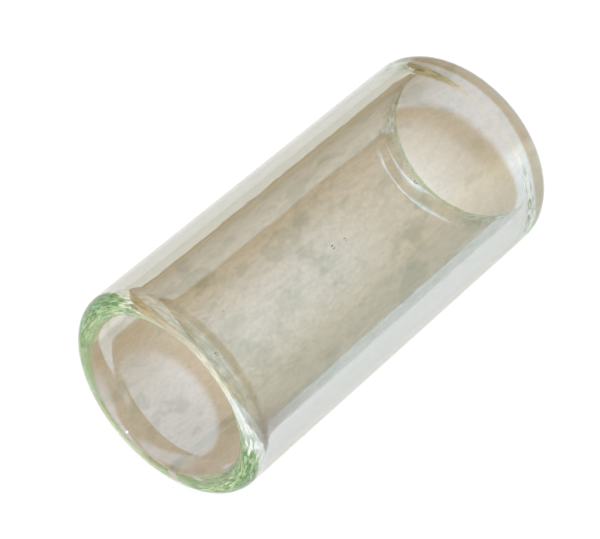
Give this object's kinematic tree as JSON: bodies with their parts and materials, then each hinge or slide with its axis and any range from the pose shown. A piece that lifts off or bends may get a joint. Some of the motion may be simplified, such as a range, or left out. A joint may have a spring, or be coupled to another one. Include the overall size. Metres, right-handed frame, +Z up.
{
  "type": "guitar slide",
  "caption": "Clear glass finger slide: a straight tube open at both ends, with fire-polished rims that look pale green.",
  "frame": {"origin": "centre of the bore, halfway along the tube", "axes": "+X along the tube's axis, +Z up with the tube lying on its side"},
  "size_m": [0.06, 0.029, 0.029],
  "materials": {
    "clear_glass": "clear, fire-polished, faint green tint that shows at the rims"
  },
  "bodies": {
    "root": {"glass_tube": "clear_glass"}
  },
  "joints": []
}
